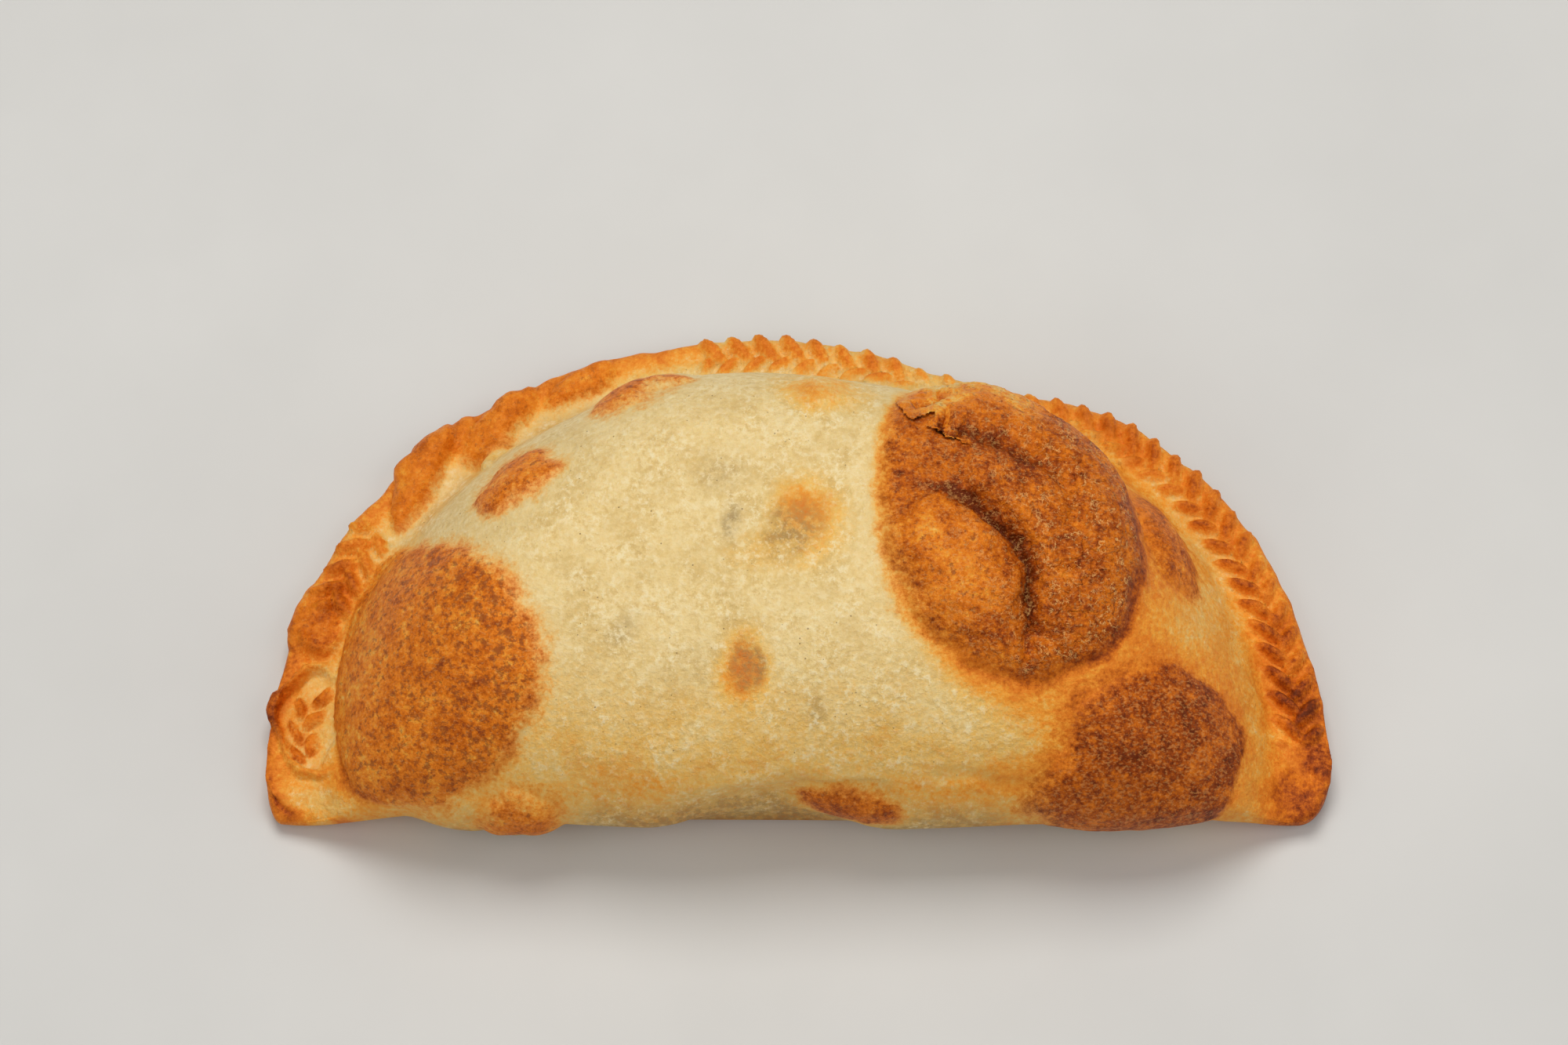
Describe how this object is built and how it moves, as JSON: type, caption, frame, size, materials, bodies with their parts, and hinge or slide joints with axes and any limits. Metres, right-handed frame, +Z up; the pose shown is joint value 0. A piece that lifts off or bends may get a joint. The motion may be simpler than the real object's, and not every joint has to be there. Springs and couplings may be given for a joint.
{
  "type": "baked empanada",
  "caption": "Half-moon baked dough turnover with a folded straight front, a domed filled body, browned blisters and a sealed curved rim with crimps and pressed grains.",
  "frame": {"origin": "middle of the flat underside, under the middle of the bounding box", "axes": "+X along the straight folded edge, +Y from the fold to the curved rim, +Z up from the table"},
  "size_m": [0.1404, 0.0802, 0.038],
  "materials": {
    "crust": "dry baked dough, pale cream on the dome and browned on the blisters and rim, matt with a faint sheen"
  },
  "bodies": {
    "root": {"empanada": "crust"}
  },
  "joints": []
}
